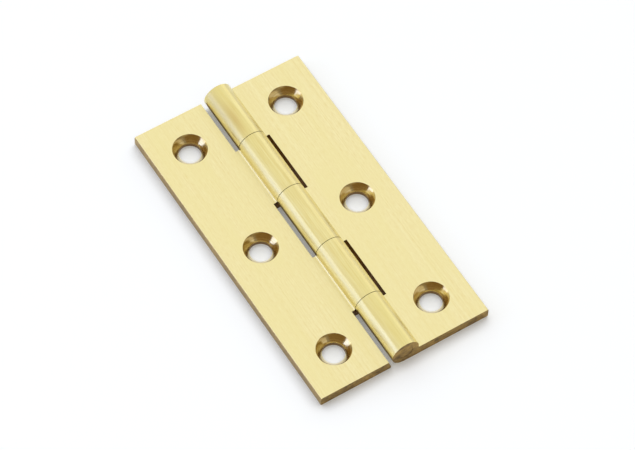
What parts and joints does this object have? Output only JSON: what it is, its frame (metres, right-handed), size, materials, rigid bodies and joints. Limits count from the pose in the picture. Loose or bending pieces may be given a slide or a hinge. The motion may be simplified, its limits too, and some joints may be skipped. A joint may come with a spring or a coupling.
{
  "type": "cabinet butt hinge",
  "caption": "Solid drawn butt hinge for a cabinet door, open flat, with interleaved knuckles on a plain pin and countersunk screw holes in line on each leaf.",
  "frame": {"origin": "centre of the open hinge's footprint, on the plane of the leaf backs", "axes": "+X across the leaves towards the three-knuckle leaf, +Y along the pin, +Z from the leaf backs up through the barrel"},
  "size_m": [0.035, 0.0636, 0.0055],
  "materials": {
    "leaf_brass": "satin, linished along the length, with sawn ends",
    "pin_brass": "drawn, ends filed flush"
  },
  "bodies": {
    "fixed_leaf": {"three_knuckle_leaf": "leaf_brass", "hinge_pin": "pin_brass"},
    "turning_leaf": {"two_knuckle_leaf": "leaf_brass"}
  },
  "joints": [
    {"name": "pin_hinge", "type": "hinge", "parent": "fixed_leaf", "child": "turning_leaf", "pos_m": [0, 0, 0.00275], "axis": [0, 1, 0], "range_deg": [-90, 180]}
  ]
}
